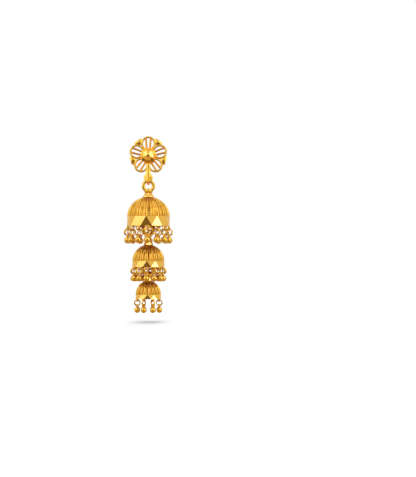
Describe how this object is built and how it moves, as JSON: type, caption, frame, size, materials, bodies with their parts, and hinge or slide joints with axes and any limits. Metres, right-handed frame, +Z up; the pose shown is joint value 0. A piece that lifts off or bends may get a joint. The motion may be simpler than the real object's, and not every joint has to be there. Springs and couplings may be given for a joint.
{
  "type": "jhumka earring",
  "caption": "Three-tier gold jhumka earring: openwork flower stud, leaf hook, jump rings and ribbed bells with mirror-cut bands and ball drops.",
  "frame": {"origin": "on the ear post's axis, in the middle of the ear lobe that it goes through", "axes": "+Z up, along the line that the bells hang on; -Y to the front, out of the rosette's face; +X to the viewer's right"},
  "size_m": [0.0142, 0.0167, 0.0512],
  "materials": {
    "warm_gold": "satin, worked",
    "deep_gold": "faceted, warm",
    "bright_cut_gold": "mirror cut",
    "polished_gold": "polished",
    "plain_gold": "plain, polished"
  },
  "bodies": {
    "stud": {"rosette": "warm_gold", "centre_boss": "deep_gold", "ear_post": "plain_gold"},
    "ring_1": {"ring_1": "polished_gold"},
    "bell_1": {"cap_1": "bright_cut_gold", "dome_1": "warm_gold", "drop_1_01": "polished_gold", "drop_1_02": "polished_gold", "drop_1_03": "polished_gold", "drop_1_04": "polished_gold", "drop_1_05": "polished_gold", "drop_1_06": "polished_gold", "drop_1_07": "polished_gold", "drop_1_08": "polished_gold", "drop_1_09": "polished_gold", "drop_1_10": "polished_gold", "drop_1_11": "polished_gold", "drop_1_12": "polished_gold", "drop_1_13": "polished_gold", "drop_1_14": "polished_gold"},
    "ring_2": {"ring_2": "polished_gold"},
    "bell_2": {"cap_2": "bright_cut_gold", "dome_2": "warm_gold", "drop_2_01": "polished_gold", "drop_2_02": "polished_gold", "drop_2_03": "polished_gold", "drop_2_04": "polished_gold", "drop_2_05": "polished_gold", "drop_2_06": "polished_gold", "drop_2_07": "polished_gold", "drop_2_08": "polished_gold", "drop_2_09": "polished_gold", "drop_2_10": "polished_gold", "drop_2_11": "polished_gold", "drop_2_12": "polished_gold"},
    "ring_3": {"ring_3": "polished_gold"},
    "bell_3": {"cap_3": "bright_cut_gold", "dome_3": "warm_gold", "drop_3_01": "polished_gold", "drop_3_02": "polished_gold", "drop_3_03": "polished_gold", "drop_3_04": "polished_gold", "drop_3_05": "polished_gold", "drop_3_06": "polished_gold", "drop_3_07": "polished_gold", "drop_3_08": "polished_gold"}
  },
  "joints": [
    {"name": "ring_1_swing", "type": "hinge", "parent": "stud", "child": "ring_1", "pos_m": [0, -0.00219, -0.00731], "axis": [1, 0, 0], "range_deg": [-30, 30]},
    {"name": "bell_1_sway", "type": "hinge", "parent": "ring_1", "child": "bell_1", "pos_m": [0, -0.00219, -0.00879], "axis": [0, 1, 0], "range_deg": [-40, 40]},
    {"name": "ring_2_swing", "type": "hinge", "parent": "bell_1", "child": "ring_2", "pos_m": [0, -0.00219, -0.02002], "axis": [1, 0, 0], "range_deg": [-16, 16]},
    {"name": "bell_2_sway", "type": "hinge", "parent": "ring_2", "child": "bell_2", "pos_m": [0, -0.00219, -0.0215], "axis": [0, 1, 0], "range_deg": [-18, 18]},
    {"name": "ring_3_swing", "type": "hinge", "parent": "bell_2", "child": "ring_3", "pos_m": [0, -0.00219, -0.03142], "axis": [1, 0, 0], "range_deg": [-12, 12]},
    {"name": "bell_3_sway", "type": "hinge", "parent": "ring_3", "child": "bell_3", "pos_m": [0, -0.00219, -0.0329], "axis": [0, 1, 0], "range_deg": [-12, 12]}
  ]
}
